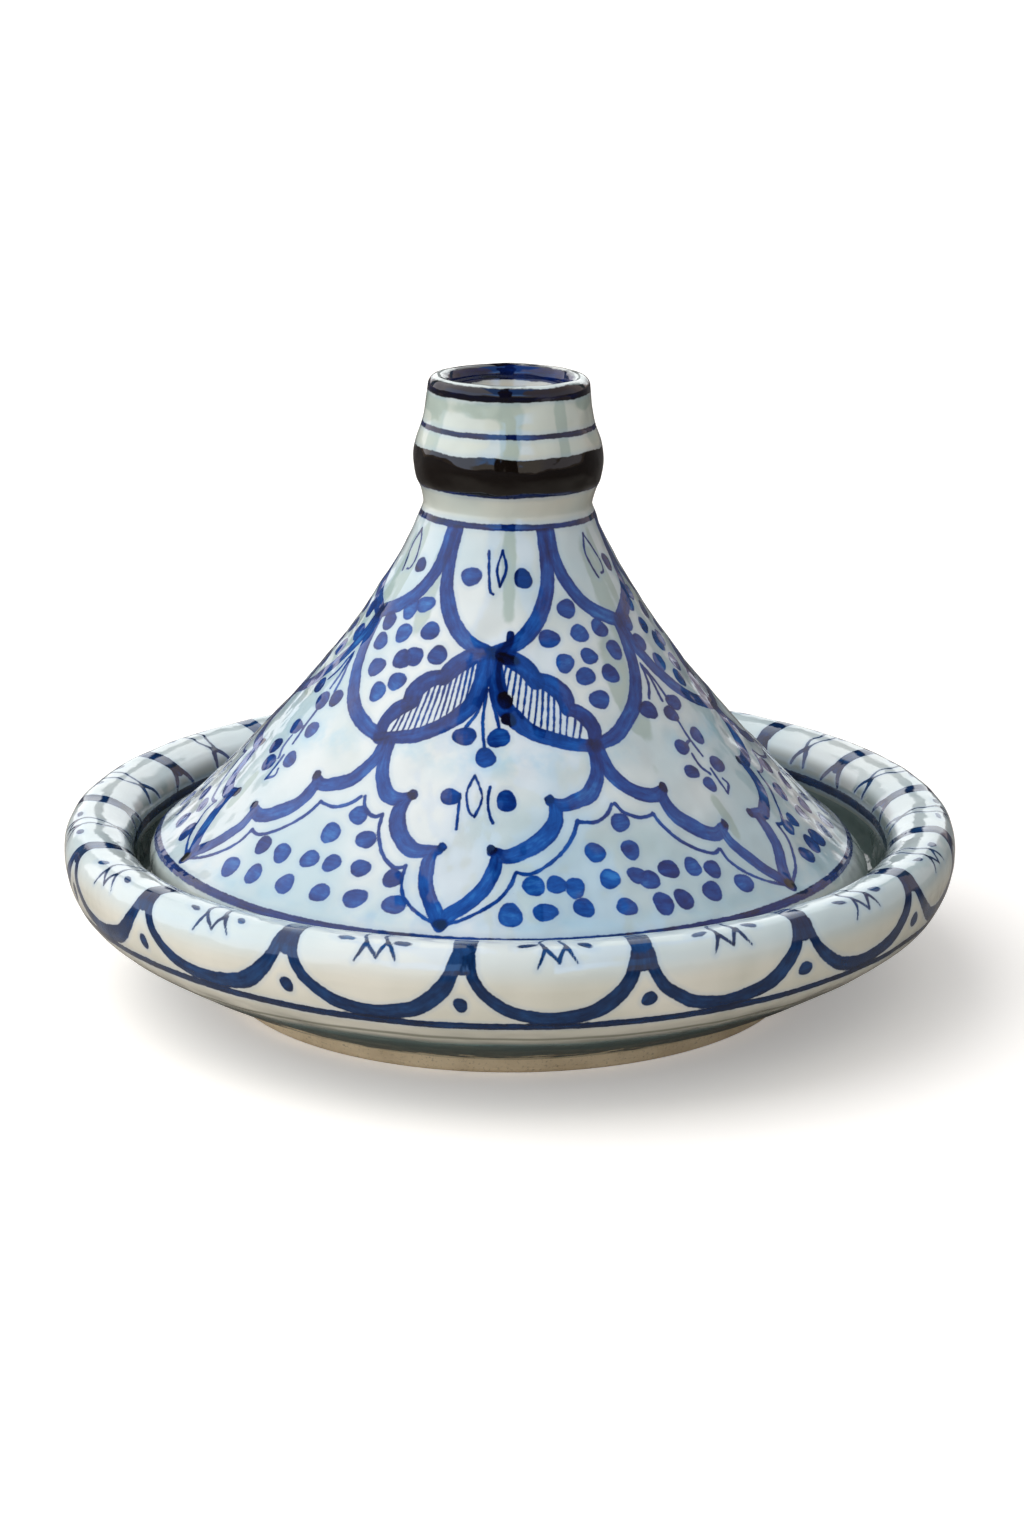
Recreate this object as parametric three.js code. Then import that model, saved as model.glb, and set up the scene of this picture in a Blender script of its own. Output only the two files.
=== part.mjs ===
// Moroccan tagine pot: a shallow round dish with a rolled rim and a conical lid
// whose hollow knob is the handle. Both pieces are thrown stoneware bodies of
// revolution about Z. Millimetres, +Z up, origin on the table at the foot's centre.

import * as THREE from "three";

// ---- driving dimensions, mm ------------------------------------------------
const SEGMENTS = 72;            // facets round the axis

// foot ring
const FOOT_INNER_R = 84;
const FOOT_OUTER_R = 97.5;
const FOOT_HEIGHT = 5.5;        // groove where the wall springs from the foot
const FOOT_RECESS = 5;          // hollow under the dish, inside the foot ring
const FOOT_CHAMFER = 0.9;

// dish
const RIM_OUTER_R = 150.2;      // widest point of the rolled rim
const RIM_INNER_R = 127;        // inner wall of the rim, over the gallery
const RIM_WIDE_Z = 49.5;        // height of the widest point
const RIM_CREST_R = 143.2;
const RIM_CREST_Z = 59.6;
const LEDGE_Z = 34;             // gallery ledge that the lid stands on
const LEDGE_INNER_R = 112.5;
const LEDGE_OUTER_R = 122;
const FLOOR_R = 78;             // flat part of the cooking floor
const FLOOR_Z = 13.5;

// lid
const SEAT_GAP = 0.3;           // glaze clearance between the lid and the ledge
const LID_WALL = 7;             // thickness of the cone
const FLANGE_R = 121.3;         // upright skirt below the lid's shoulder
const FLANGE_INNER_R = 113;
const SHOULDER_R = 117.2;
const SHOULDER_Z = 50.3;
const NECK_R = 28;
const NECK_Z = 164.8;
const BULGE_R = 31.5;
const BULGE_Z = 178.3;
const LIP_R = 26.7;              // outside of the knob's lip
const LIP_BORE_R = 19.8;        // mouth of the knob's cup
const LIP_TOP_Z = 205.7;
const CUP_FLOOR_Z = 181;
const CUP_FLOOR_R = 14.5;
const HOLLOW_TOP_Z = 170;       // roof of the steam space inside the cone
const ROOF_R = 23;
const ROOF_RISE = 17;

// ---- profile helpers -------------------------------------------------------
const p = (r, z) => new THREE.Vector2(r, z);
const deg = THREE.MathUtils.degToRad;

// points along an ellipse centred on (cr, cz), from angle a0 to a1 in degrees
function arc(cr, cz, rr, rz, a0, a1, n) {
  const pts = [];
  for (let i = 0; i <= n; i++) {
    const a = deg(a0 + ((a1 - a0) * i) / n);
    pts.push(p(cr + rr * Math.cos(a), cz + rz * Math.sin(a)));
  }
  return pts;
}

// points along a smooth curve through the given ones
function flow(knots, n) {
  return new THREE.SplineCurve(knots.map(([r, z]) => p(r, z))).getPoints(n);
}

// joins runs of points, dropping those that repeat the one before
function join(...runs) {
  const out = [];
  for (const q of runs.flat()) {
    const last = out[out.length - 1];
    if (!last || last.distanceTo(q) > 0.02) out.push(q);
  }
  return out;
}

// the same curve moved sideways by d, towards the axis and down
function inward(points, d) {
  return points.map((q, i) => {
    const a = points[Math.max(i - 1, 0)];
    const b = points[Math.min(i + 1, points.length - 1)];
    const t = b.clone().sub(a).normalize();
    return p(q.x - d * t.y, q.y + d * t.x);
  });
}

function lathe(name, profile, material) {
  const geometry = new THREE.LatheGeometry(profile, SEGMENTS);
  geometry.rotateX(Math.PI / 2);
  const mesh = new THREE.Mesh(geometry, material);
  mesh.name = name;
  return mesh;
}

// ---- dish ------------------------------------------------------------------
const wallSlope = flow(
  [
    [FOOT_OUTER_R + 3.3, FOOT_HEIGHT + 0.8],
    [108, 9.1],
    [119.2, 15],
    [129, 21],
    [138.2, 27],
    [144.8, 33],
    [148.3, 39.4],
    [RIM_OUTER_R - 0.3, 46],
    [RIM_OUTER_R, RIM_WIDE_Z],
  ],
  11,
);
const rimOutside = arc(
  RIM_CREST_R,
  RIM_WIDE_Z,
  RIM_OUTER_R - RIM_CREST_R,
  RIM_CREST_Z - RIM_WIDE_Z,
  0,
  90,
  6,
);
const rimInside = arc(
  RIM_CREST_R,
  RIM_WIDE_Z - 1.5,
  RIM_CREST_R - RIM_INNER_R,
  RIM_CREST_Z - RIM_WIDE_Z + 1.5,
  90,
  180,
  6,
);
const gallery = flow(
  [
    [RIM_INNER_R, 44],
    [126.6, 39.5],
    [125.2, 35.8],
    [LEDGE_OUTER_R, LEDGE_Z],
  ],
  5,
);
const dishWall = flow(
  [
    [LEDGE_INNER_R, LEDGE_Z],
    [110.8, 33],
    [109.2, 28.5],
    [105, 22.5],
    [97, 17.6],
    [88, 14.6],
    [FLOOR_R, FLOOR_Z],
  ],
  7,
);
const dishProfile = join(
  [p(0, FOOT_RECESS), p(FOOT_INNER_R - 3, FOOT_RECESS)],
  [p(FOOT_INNER_R - 0.6, FOOT_RECESS - 2), p(FOOT_INNER_R, FOOT_CHAMFER)],
  [p(FOOT_INNER_R + FOOT_CHAMFER, 0), p(FOOT_OUTER_R - FOOT_CHAMFER, 0)],
  [p(FOOT_OUTER_R, FOOT_CHAMFER), p(FOOT_OUTER_R + 2.2, FOOT_HEIGHT)],
  wallSlope,
  rimOutside,
  rimInside,
  gallery,
  dishWall,
  [p(0, FLOOR_Z)],
);

// ---- lid -------------------------------------------------------------------
const coneKnots = [
  [SHOULDER_R, SHOULDER_Z],
  [111, 55.2],
  [100.4, 65],
  [90.9, 75],
  [81.6, 85],
  [72.6, 95],
  [64.1, 105],
  [56.3, 115],
  [49, 125],
  [42.5, 135],
  [36.5, 145],
  [31.9, 154],
  [29.1, 160.3],
];
const coneOutside = flow(coneKnots, 12);
const neckAndBulge = flow(
  [
    [NECK_R + 0.15, NECK_Z - 1.8],
    [NECK_R, NECK_Z],
    [29.1, 169],
    [30.6, 172.3],
    [BULGE_R, BULGE_Z],
    [30.7, 184],
    [28.6, 190.2],
    [27.6, 194.8],
    [LIP_R + 0.3, 199.6],
    [LIP_R, 202.2],
  ],
  12,
);
const lipRadius = (LIP_R - LIP_BORE_R) / 2;
const lip = arc(
  LIP_R - lipRadius,
  LIP_TOP_Z - lipRadius - 0.4,
  lipRadius,
  lipRadius + 0.4,
  15,
  180,
  6,
);
const cup = [
  p(LIP_BORE_R - 0.9, 198),
  p(LIP_BORE_R - 2.1, 191),
  p(LIP_BORE_R - 3.3, 185),
  p(CUP_FLOOR_R + 1.3, 182.2),
  p(CUP_FLOOR_R - 1.5, CUP_FLOOR_Z),
  p(0, CUP_FLOOR_Z),
];
const roof = arc(0, HOLLOW_TOP_Z - ROOF_RISE, ROOF_R, ROOF_RISE, 90, 10, 5);
const coneInside = inward(flow(coneKnots, 10), LID_WALL).slice(1, 10).reverse();
const lidFoot = LEDGE_Z + SEAT_GAP;
const flangeInside = [
  p(FLANGE_INNER_R - 2.5, 44.5),
  p(FLANGE_INNER_R - 1, 39),
  p(FLANGE_INNER_R - 0.3, lidFoot + 1),
  p(FLANGE_INNER_R + 0.9, lidFoot),
];
const flangeOutside = flow(
  [
    [FLANGE_R - 2.2, lidFoot],
    [FLANGE_R - 0.6, lidFoot + 1.2],
    [FLANGE_R, 38.5],
    [FLANGE_R - 0.2, 42.5],
    [FLANGE_R - 1.6, 47],
    [SHOULDER_R, SHOULDER_Z],
  ],
  7,
);
const lidProfile = join(
  roof,
  coneInside,
  flangeInside,
  flangeOutside,
  coneOutside,
  neckAndBulge,
  lip,
  cup,
);

// ---- the object ------------------------------------------------------------
const dishGlaze = new THREE.MeshStandardMaterial({
  color: 0xd3dadb,
  roughness: 0.12,
  metalness: 0,
});
const lidGlaze = new THREE.MeshStandardMaterial({
  color: 0xc4d2dc,
  roughness: 0.1,
  metalness: 0,
});

const tagine = new THREE.Group();
tagine.name = "tagine";
tagine.add(lathe("base_dish", dishProfile, dishGlaze));
tagine.add(lathe("lid", lidProfile, lidGlaze));

export default tagine;
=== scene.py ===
"""Looks of a glazed and hand-painted tagine pot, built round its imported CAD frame.

Dish and lid are thrown, so every piece is a turned grid: rows run along its outline and columns
round its axis. Azimuth is in degrees, 0 at the front (-Y) and growing to the right (+X). The cobalt
brushwork is drawn on those grids as strokes, each a line of brush places (azimuth, millimetres up
the outline), and kept as mesh attributes that the glaze material turns into paint.
"""

import math

import bpy
import numpy as np
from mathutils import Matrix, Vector


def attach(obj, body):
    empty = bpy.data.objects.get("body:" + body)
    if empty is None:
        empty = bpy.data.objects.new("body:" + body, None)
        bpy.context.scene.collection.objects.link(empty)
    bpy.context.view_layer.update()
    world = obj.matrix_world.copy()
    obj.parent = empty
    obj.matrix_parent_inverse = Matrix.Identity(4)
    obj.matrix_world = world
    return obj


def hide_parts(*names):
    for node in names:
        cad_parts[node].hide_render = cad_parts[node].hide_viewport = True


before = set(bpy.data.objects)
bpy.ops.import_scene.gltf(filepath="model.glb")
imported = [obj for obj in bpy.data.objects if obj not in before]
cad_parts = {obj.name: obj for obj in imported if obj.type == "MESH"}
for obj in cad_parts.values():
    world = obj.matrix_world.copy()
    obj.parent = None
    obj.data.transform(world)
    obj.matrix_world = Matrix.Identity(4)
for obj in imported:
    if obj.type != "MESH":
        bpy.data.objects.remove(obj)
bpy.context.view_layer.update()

MM = 0.001
SEED = 7
ARC_POINTS = 49
rng = np.random.default_rng(SEED)


# ---- outlines, in millimetres (radius, height)

RIM_WIDE = (150.2, 49.5)
RIM_CREST = (143.2, 59.6)
RIM_INNER_R = 127.0
RIM_INNER_Z = 48.0

UNDERSIDE = [(0, 5), (40, 5), (81, 5)]
FOOT_RING = [(81, 5), (83.4, 3), (84, 0.9), (84.9, 0), (96.6, 0), (97.5, 0.9), (99.0, 3.8), (99.7, 5.5)]
DISH_WALL = [(100.8, 6.3), (108, 9.1), (119.2, 15), (129, 21), (138.2, 27), (144.8, 33), (148.3, 39.4),
             (149.9, 46), RIM_WIDE]
GALLERY = [(127, 44), (126.6, 39.5), (125.2, 35.8), (122, 34)]
BOWL = [(112.5, 34), (110.8, 33), (109.2, 28.5), (105, 22.5), (97, 17.6), (88, 14.6), (78, 13.5)]
BOWL_FLOOR = [(78, 13.5), (0, 13.5)]

FLANGE_OUTSIDE = [(119.1, 34.3), (120.7, 35.5), (121.3, 38.5), (121.1, 42.5), (119.7, 47), (117.2, 50.3)]
CONE = [(117.2, 50.3), (111, 55.2), (100.4, 65), (90.9, 75), (81.6, 85), (72.6, 95), (64.1, 105),
        (56.3, 115), (49, 125), (42.5, 135), (36.5, 145), (31.9, 154), (29.1, 160.3)]
NECK_AND_KNOB = [(29.1, 160.3), (28.15, 163), (28, 164.8), (29.1, 169), (30.6, 172.3), (31.5, 178.3),
                 (30.7, 184), (28.6, 190.2), (27.6, 194.8), (27, 199.6), (26.7, 202.2)]
LIP_CENTRE_R = 23.25
LIP_Z = 202.2
LIP_TOP_Z = 205.7
LIP_BORE_R = 19.8
KNOB_CUP = [(19.8, 201.4), (18.9, 198), (17.7, 191), (16.5, 185), (15.8, 182.2), (13, 181), (0, 181)]
FLANGE_INSIDE = [(110.5, 44.5), (112, 39), (112.7, 35.3), (113.9, 34.3)]
LID_WALL = 7
HOLLOW_ROOF_Z = 153
HOLLOW_ROOF_RISE = 17
HOLLOW_FOOT_Z = 49

LID_LEAN = math.radians(0.7)     # the lid sits a little askew in its gallery
LID_LEAN_ABOUT_Z = 60            # height that the lean leaves in place
LID_SHIFT = -1.9                 # and off centre, to the left
RIM_DIP = 1.0                    # the dish's rim dips this much at the front and rises as much behind


def curve_through(knots, pieces=14):
    """Points of a smooth curve through the knots, so many to each stretch between two."""
    k = np.array(knots, float)
    k = np.vstack([2 * k[0] - k[1], k, 2 * k[-1] - k[-2]])
    t = np.linspace(0, 1, pieces, endpoint=False)[:, None]
    spans = []
    for a, b, c, d in zip(k[:-3], k[1:-2], k[2:-1], k[3:]):
        spans.append(0.5 * (2 * b + (c - a) * t + (2 * a - 5 * b + 4 * c - d) * t**2
                            + (3 * b - a - 3 * c + d) * t**3))
    return np.vstack(spans + [k[-2:-1]])


def arc(centre_r, centre_z, radius_r, radius_z, start, end):
    """Points of an elliptical arc, from the start angle to the end angle in degrees."""
    a = np.radians(np.linspace(start, end, ARC_POINTS))
    return np.c_[centre_r + radius_r * np.cos(a), centre_z + radius_z * np.sin(a)]


def length_along(points):
    """How far each point lies along a line."""
    return np.r_[0, np.cumsum(np.hypot(*np.diff(points, axis=0).T))]


def heading(points):
    """Unit direction of a line at each of its points."""
    way = np.gradient(points, axis=0)
    return way / np.hypot(way[:, 0], way[:, 1])[:, None]


def evenly(points, step):
    """The same line with points a step apart."""
    gone = length_along(points)
    at = np.linspace(0, gone[-1], max(2, int(math.ceil(gone[-1] / step)) + 1))
    return np.c_[np.interp(at, gone, points[:, 0]), np.interp(at, gone, points[:, 1])]


def outline(step, *stretches):
    """One outline from several stretches, with a point kept at each corner between them."""
    rows = [evenly(np.array(s, float), step) for s in stretches]
    return np.vstack([rows[0]] + [r[1:] for r in rows[1:]])


def inward(points, thickness):
    """A line a wall's thickness inside another."""
    way = heading(points)
    return points + thickness * np.c_[-way[:, 1], way[:, 0]]


def ramp(x, low, high):
    """0 below low, 1 above high, smooth between."""
    t = np.clip((x - low) / (high - low), 0, 1)
    return t * t * (3 - 2 * t)


# ---- brushwork

FAR = 9.0          # millimetres from any paint, as far as the distance is followed
REACH = 2.2        # millimetres past a stroke's edge that its distances are worked out for
BRUSH_STEP = 6     # points of a brush line between two of its places
HAND_SHAKE = (0.48, 0.6)     # degrees round the pot and millimetres up it, for a hand of 1


class Canvas:
    """A turned piece's grid as something to paint on.

    edge is the distance to the nearest paint's edge, negative inside it. load is how much pigment
    lies there. bristle holds how far along a stroke and how far across it a point lies, with the
    stroke's own number, for the streaks of the brush. wash is watery blue above zero, and glaze that
    ran thick below.
    """

    def __init__(self, columns, places, radii):
        self.azimuth = np.arange(columns) * 360.0 / columns
        self.place = places
        self.mm = np.maximum(radii, 1.0) * math.pi / 180     # millimetres to one degree, at each row
        shape = (len(places), columns)
        self.edge = np.full(shape, FAR)
        self.load = np.zeros(shape)
        self.bristle = np.zeros(shape + (3,))
        # wash below zero is mostly glaze that ran thick; the patches down the front are a painted
        # reflection of a dark streak
        self.wash = np.zeros(shape)
        self.strokes = 0

    def rows_near(self, places, margin):
        low, high = np.min(places) - margin, np.max(places) + margin
        return np.flatnonzero((self.place > low) & (self.place < high))

    def window(self, azimuths, places, margin):
        """Rows and columns within a margin of some places, and the columns' azimuths."""
        rows = self.rows_near(places, margin)
        side = margin / self.mm[rows].min()
        count = len(self.azimuth)
        first = int(math.floor((np.min(azimuths) - side) * count / 360))
        last = int(math.ceil((np.max(azimuths) + side) * count / 360))
        columns = np.arange(first, min(last, first + count - 1) + 1)
        return rows, columns, columns * 360.0 / count

    def lay(self, rows, columns, edge, load, along, across):
        """Adds one stroke's distances to the canvas."""
        at = np.ix_(rows, columns % len(self.azimuth))
        nearer = edge < self.edge[at]
        self.strokes += 1
        number = np.full(edge.shape, self.strokes * 1.7)
        self.bristle[at] = np.where(nearer[..., None], np.stack([along, across, number], -1),
                                    self.bristle[at])
        cover = np.clip((0.7 + 0.5 * max(load - 1, 0) - edge) / 0.9, 0, 1)
        before = self.load[at]
        self.load[at] = np.where(before > 0.01, before + 0.3 * load * cover * (before > 0.3) +
                                 np.clip(load * cover - before, 0, None), load * cover)
        self.edge[at] = np.minimum(self.edge[at], edge)

    def stroke(self, places, width, load, hand=0.35):
        """A brush line through places, as wide as width or as the list of widths at its places."""
        k = np.array(places, float)
        k = k + rng.normal(0, hand, k.shape) * HAND_SHAKE
        wide = np.broadcast_to(np.array(width, float), (len(k),)) * rng.normal(1, 0.035, len(k))
        line = curve_through(np.c_[k, wide], BRUSH_STEP)
        rows, columns, azimuth = self.window(line[:, 0], line[:, 1], wide.max() / 2 + REACH)
        mm = self.mm[rows][:, None]
        place = self.place[rows][:, None]
        edge = np.full((len(rows), len(columns)), FAR)
        along = np.zeros_like(edge)
        across = np.zeros_like(edge)
        run = 0.0
        for (a0, s0, w0), (a1, s1, w1) in zip(line[:-1], line[1:]):
            bx, by = (a1 - a0) * mm, s1 - s0
            length2 = bx * bx + by * by + 1e-9
            x, y = (azimuth - a0) * mm, place - s0
            t = np.clip((x * bx + y * by) / length2, 0, 1)
            half = (w0 + (w1 - w0) * t) / 2
            d = np.hypot(x - t * bx, y - t * by) - half
            better = d < edge
            length = np.sqrt(length2)
            edge = np.where(better, d, edge)
            along = np.where(better, run + t * length, along)
            across = np.where(better, (x * by - y * bx) / length / np.maximum(half, 0.2), across)
            run += float(length.mean())
        self.lay(rows, columns, edge, load, along, across)

    def dab(self, azimuth, place, width, height, load, turn=0.0):
        """A dot of the brush: an uneven oval."""
        w, h = np.array([width, height]) / 2 * rng.normal(1, 0.072, 2)
        load = load * rng.uniform(0.7, 1.15)
        a = azimuth + rng.normal(0, 0.25)
        s = place + rng.normal(0, 0.25)
        turn = math.radians(turn + rng.normal(0, 14))
        lobe, beat = rng.uniform(0, 2 * math.pi, 2)
        rows, columns, around = self.window(a, s, max(w, h) + REACH)
        x = (around - a) * self.mm[rows][:, None]
        y = self.place[rows][:, None] - s
        u = x * math.cos(turn) + y * math.sin(turn)
        v = -x * math.sin(turn) + y * math.cos(turn)
        angle = np.arctan2(v, u)
        uneven = 1 + 0.06 * np.cos(2 * angle + lobe) + 0.045 * np.cos(3 * angle + beat)
        rho = np.hypot(u / w, v / h) / uneven
        edge = (rho - 1) * min(w, h)
        self.lay(rows, columns, edge, load, u + 4, v / h)

    def ring(self, place, width, load, waver):
        """A line right round the pot. place may be a function of azimuth."""
        az = np.radians(self.azimuth)
        centre = place(self.azimuth) if callable(place) else np.full(len(az), float(place))
        half = np.full(len(az), width / 2)
        for beats in (1, 2, 3, 5, 8):
            phase, other = rng.uniform(0, 2 * math.pi, 2)
            centre = centre + waver * 0.5 / beats**0.7 * np.cos(beats * az + phase)
            half = half * (1 + 0.035 * np.cos((beats + 2) * az + other))
        rows = self.rows_near(centre, width + 3)
        off = self.place[rows][:, None] - centre[None, :]
        along = np.broadcast_to(self.azimuth * self.mm[rows].mean(), off.shape)
        self.lay(rows, np.arange(len(az)), np.abs(off) - half, load, along, off / half)

    def water(self, azimuth, place, width, height, amount):
        """A patch of watery blue, or, where the amount is below zero, of glaze that ran thick."""
        rows, columns, around = self.window(azimuth, place, max(width, height) * 1.3)
        x = (around - azimuth) * self.mm[rows][:, None] / width
        y = (self.place[rows][:, None] - place) / height
        at = np.ix_(rows, columns % len(self.azimuth))
        blunt = 4 if height > width else 2
        self.wash[at] += (amount - self.wash[at]) * np.exp(-(x * x + np.abs(y)**blunt) * 1.6)


# ---- the lid's design

# kind, middle of the medallion, how far its foot leans over, middle of the petal above it
SECTORS = [("A", -4, -6.5, -5.5), ("B", 53, 1.5, 53.5), ("A", 112.5, -2.5, 113), ("B", 174, 2, 174),
           ("A", 236, -3, 235.5), ("B", 297.5, -4.5, 294.5)]
BOUNDARIES = [24, 82, 143, 205, 267, 328]   # right-hand side of each sector
HALF_SECTOR = 28.0   # half a sector's width as the motifs were drawn
JUNCTION = 66.0      # where medallions and petals meet, up the cone

MEDALLION = [   # half of its scalloped outline, from the side down to the foot
    [(27.4, 67), (27.4, 60.5), (26.6, 55.5), (24.5, 51), (21.5, 48.4), (18.5, 47.6), (15.8, 48.8)],
    [(16.7, 48), (16.8, 43), (15.8, 38.6), (13.6, 34.4), (10.8, 31.4), (8.2, 30.2), (5.0, 31.8)],
    [(6.2, 31), (6.2, 25.3), (5.0, 19), (3.0, 13.4), (0.9, 9), (0, 4.8)],
]
MEDALLION_WIDTHS = [[4.3, 4.6, 5.2, 5.4, 5.2, 4.8, 3.6], [3.8, 5.2, 5.8, 5.9, 5.6, 5.0, 3.6],
                    [3.8, 4.7, 5.0, 5.0, 5.0, 4.4]]
MEDALLION_KNOTS = [(15.4, 49.6), (4.8, 32.6), (0, 5.5)]
ECHO = [        # the thin line that follows it outside
    [(29.5, 46.6), (28.2, 43.4), (25.6, 41.2), (23.4, 40.8), (21.4, 41.6)],
    [(21.4, 41.6), (20.6, 36.6), (18.6, 31.8), (15.8, 27.2), (13.2, 24.4), (11.6, 24.1), (10.2, 24.8)],
    [(10.2, 24.8), (9.8, 20), (8.2, 15.3), (5.6, 10.6), (3.0, 7.6), (1.0, 5.8)],
]
# dots above the foot, off a boundary
SPANDREL_LEFT = [(-21.3, 11), (-14.8, 11.4), (-6.8, 11), (0.2, 11), (7, 11.4), (14.3, 11.2),
                 (-17, 21.5), (-12, 21), (-5.5, 22), (0, 22), (5.8, 21.8), (12.6, 19.8),
                 (-3.6, 32.2), (4.7, 31.8), (0.4, 40)]
SPANDREL_RIGHT = [(-23.3, 10), (-17, 10), (-10.7, 11.6), (-3.2, 11), (3.2, 10.4), (7.3, 11.2),
                  (13.3, 11), (20.5, 11.2), (-18.2, 19.8), (-14.7, 20.2), (-11.6, 19.3), (-5.2, 21),
                  (0.2, 21.6), (2.5, 19.2), (6.5, 22), (12, 21), (15.8, 18.8), (-6.9, 30.5), (0.6, 30.4),
                  (0.2, 40)]
SPANDREL_THIRD = [(-17, 11), (-12, 12.5), (-8, 12), (-2, 11.5), (4.5, 11), (11, 11.5), (18, 11),
                  (-14.5, 22), (-10.5, 22.5), (-4, 21.5), (1.5, 21), (7.5, 21.5), (13.5, 20),
                  (-5.5, 31.5), (3.2, 31), (0, 40)]

PETAL_A = [(27.2, 143), (27.6, 133), (26.0, 124.5), (22.4, 117), (16.8, 109.6), (9.4, 104), (0.6, 100.6)]
PETAL_B = [(25.6, 143), (25.4, 134), (23.2, 126), (17.8, 118), (10.6, 112.4), (1.2, 108.2)]
PETAL_WIDTHS = [4.0, 4.4, 4.9, 5.2, 5.4, 5.2, 4.6]
WING_UNDER = [(0.6, 100), (2.4, 91), (4.4, 83.5), (8.2, 78), (13, 73.6), (18.5, 70.4), (24, 68.4),
              (29.4, 67.2)]
WING_UNDER_WIDTHS = [4.6, 5.6, 5.8, 5.6, 5.4, 5.2, 4.8, 4.4]
WING_OVER = [[(2.0, 100.4), (7.4, 98.8), (12.4, 95.2), (15.4, 90.8)],
             [(15.0, 92.0), (20.4, 89.6), (23.8, 85.4), (24.6, 80.6)],
             [(23.6, 81.6), (27.8, 78.2), (30.2, 73.6), (29.8, 68.2)]]
WING_OVER_WIDTHS = [[4.6, 6.2, 6.4, 5.6], [4.8, 6.4, 6.4, 5.4], [4.6, 5.6, 5.4, 4.6]]
WING_STALKS = [[(-1.4, 88), (-3, 80), (-5.6, 75)], [(-0.6, 88), (-1, 77), (0.2, 67)],
               [(0.4, 88), (2.6, 80), (3.8, 75)]]
WING_BERRIES = [(-5.7, 71.6), (4.0, 71), (0.5, 64.4)]
SHOULDER = [(0.8, 108.4), (1.6, 100), (5.4, 90), (11, 80.4), (16.6, 74.4), (22.2, 70.2), (28.6, 67.4)]
SHOULDER_WIDTHS = [4.4, 5.0, 5.2, 5.4, 5.4, 5.2, 4.4]
SPRIG_STALKS = [[(-0.5, 92), (-2, 85), (-5, 80)], [(0, 91), (0.5, 84), (0.2, 78)],
                [(0.6, 90), (2.6, 83), (3.4, 78)], [(1.5, 71), (1.5, 64), (2.2, 56)],
                [(2, 51), (2.2, 46), (2.2, 41.5)], [(1.6, 62.4), (0, 62), (-1.4, 61)],
                [(-1, 58), (-0.8, 53), (0.8, 49.5)]]
SPRIG_BERRIES = [(-7.7, 76.7), (1.0, 73), (5.6, 76), (-3, 61.2), (5.2, 63), (-5, 52.3), (5.6, 51.3),
                 (-1.5, 46.3)]
SPRIG_TAIL = [(2.2, 41.5), (4.6, 44), (4, 46.4)]
# thin marks inside a medallion and inside either kind of petal: line, width, pigment
BUD_MARKS = [([(-1.6, 58.2), (-2.9, 52), (-1.9, 45.5), (-0.7, 43.6)], 0.9, 0.85),
             ([(-1.6, 58.2), (0.3, 52.5), (0.5, 49), (-0.7, 43.6)], 0.9, 0.85),
             ([(-4.4, 51.4), (-4.2, 46), (-4.0, 39)], 0.95, 0.8),
             ([(2.2, 54.4), (1.9, 50), (2.3, 45), (3.2, 41.8)], 1.1, 0.9)]
PETAL_A_MARKS = [([(-5.2, 134.8), (-4.2, 128), (-2.6, 121.6), (-0.9, 120.4)], 1.0, 0.85),
                 ([(2.7, 135), (0.2, 129), (2, 123)], 0.95, 0.85),
                 ([(2.7, 135), (5, 129.5), (2, 123)], 0.95, 0.85)]
PETAL_B_MARKS = [([(0, 138.4), (-3.4, 133), (-2.6, 127.6), (-0.8, 123.4)], 1.0, 0.85),
                 ([(0, 138.4), (4.4, 134), (6.6, 129), (5.4, 125), (2.6, 124.4)], 0.9, 0.8)]
# dots between two petals at the first boundary, right of kind A and of kind B
FAN_A = [(26.7, 114.5), (17, 105.5), (30.3, 106), (40.7, 106.5), (21, 96.7), (31, 98), (43.5, 98.6),
         (27.3, 91), (37.5, 90.6), (30, 83)]
FAN_B = [(17.3, 114.8), (10, 112), (0.5, 107), (11.5, 103.3), (24, 106.5), (1.5, 98.7), (16.5, 95.5),
         (21, 96.5), (30.5, 98.5), (7, 90), (18.5, 87.5), (13, 82.5)]
HATCHES = 14
HATCH_FROM = 3.9     # degrees from a wing's root
HATCH_OVER = 23.4    # degrees
HATCH_GAP = 1.2      # millimetres from a hatch's end to the middle of the wing's outline
HATCH_WIDTHS = [0.7, 0.85, 0.95]
DRAWN_LEAN = 6.5     # how far the foot of MEDALLION was drawn leaning


def set_at(line, at, side=1, widen=1):
    """A drawn line put at an azimuth, mirrored where side is -1."""
    return [(at + side * a * widen, s) for a, s in line]


def paint_marks(canvas, at, marks):
    """Thin lines, each with its own width and pigment."""
    for line, width, load in marks:
        canvas.stroke(set_at(line, at), width, load, hand=0.1)


def paint_medallion(canvas, middle, lean, left, right):
    """The scalloped outline of a sector's foot, its thin echo, and a knot between two scallops."""
    def put(side, rel, place):
        """Azimuth of a drawn point, once the outline is stretched to this sector's sides."""
        down = 1 - place / JUNCTION
        centre = middle + lean * down
        reach = right - centre if side > 0 else centre - left
        drawn = HALF_SECTOR + DRAWN_LEAN * down
        return centre + side * rel * (1 + (reach / drawn - 1) * (rel / drawn)**2)

    for side in (-1, 1):
        for line, widths in zip(MEDALLION, MEDALLION_WIDTHS):
            canvas.stroke([(put(side, a, s), s) for a, s in line], widths, 0.5)
        for a, s in MEDALLION_KNOTS:
            canvas.dab(put(side, a, s), s, 3.0, 3.4, 1.25)
        for line in ECHO:
            canvas.stroke([(put(side, a, s), s) for a, s in line], 1.35, 0.5, hand=0.2)


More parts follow.
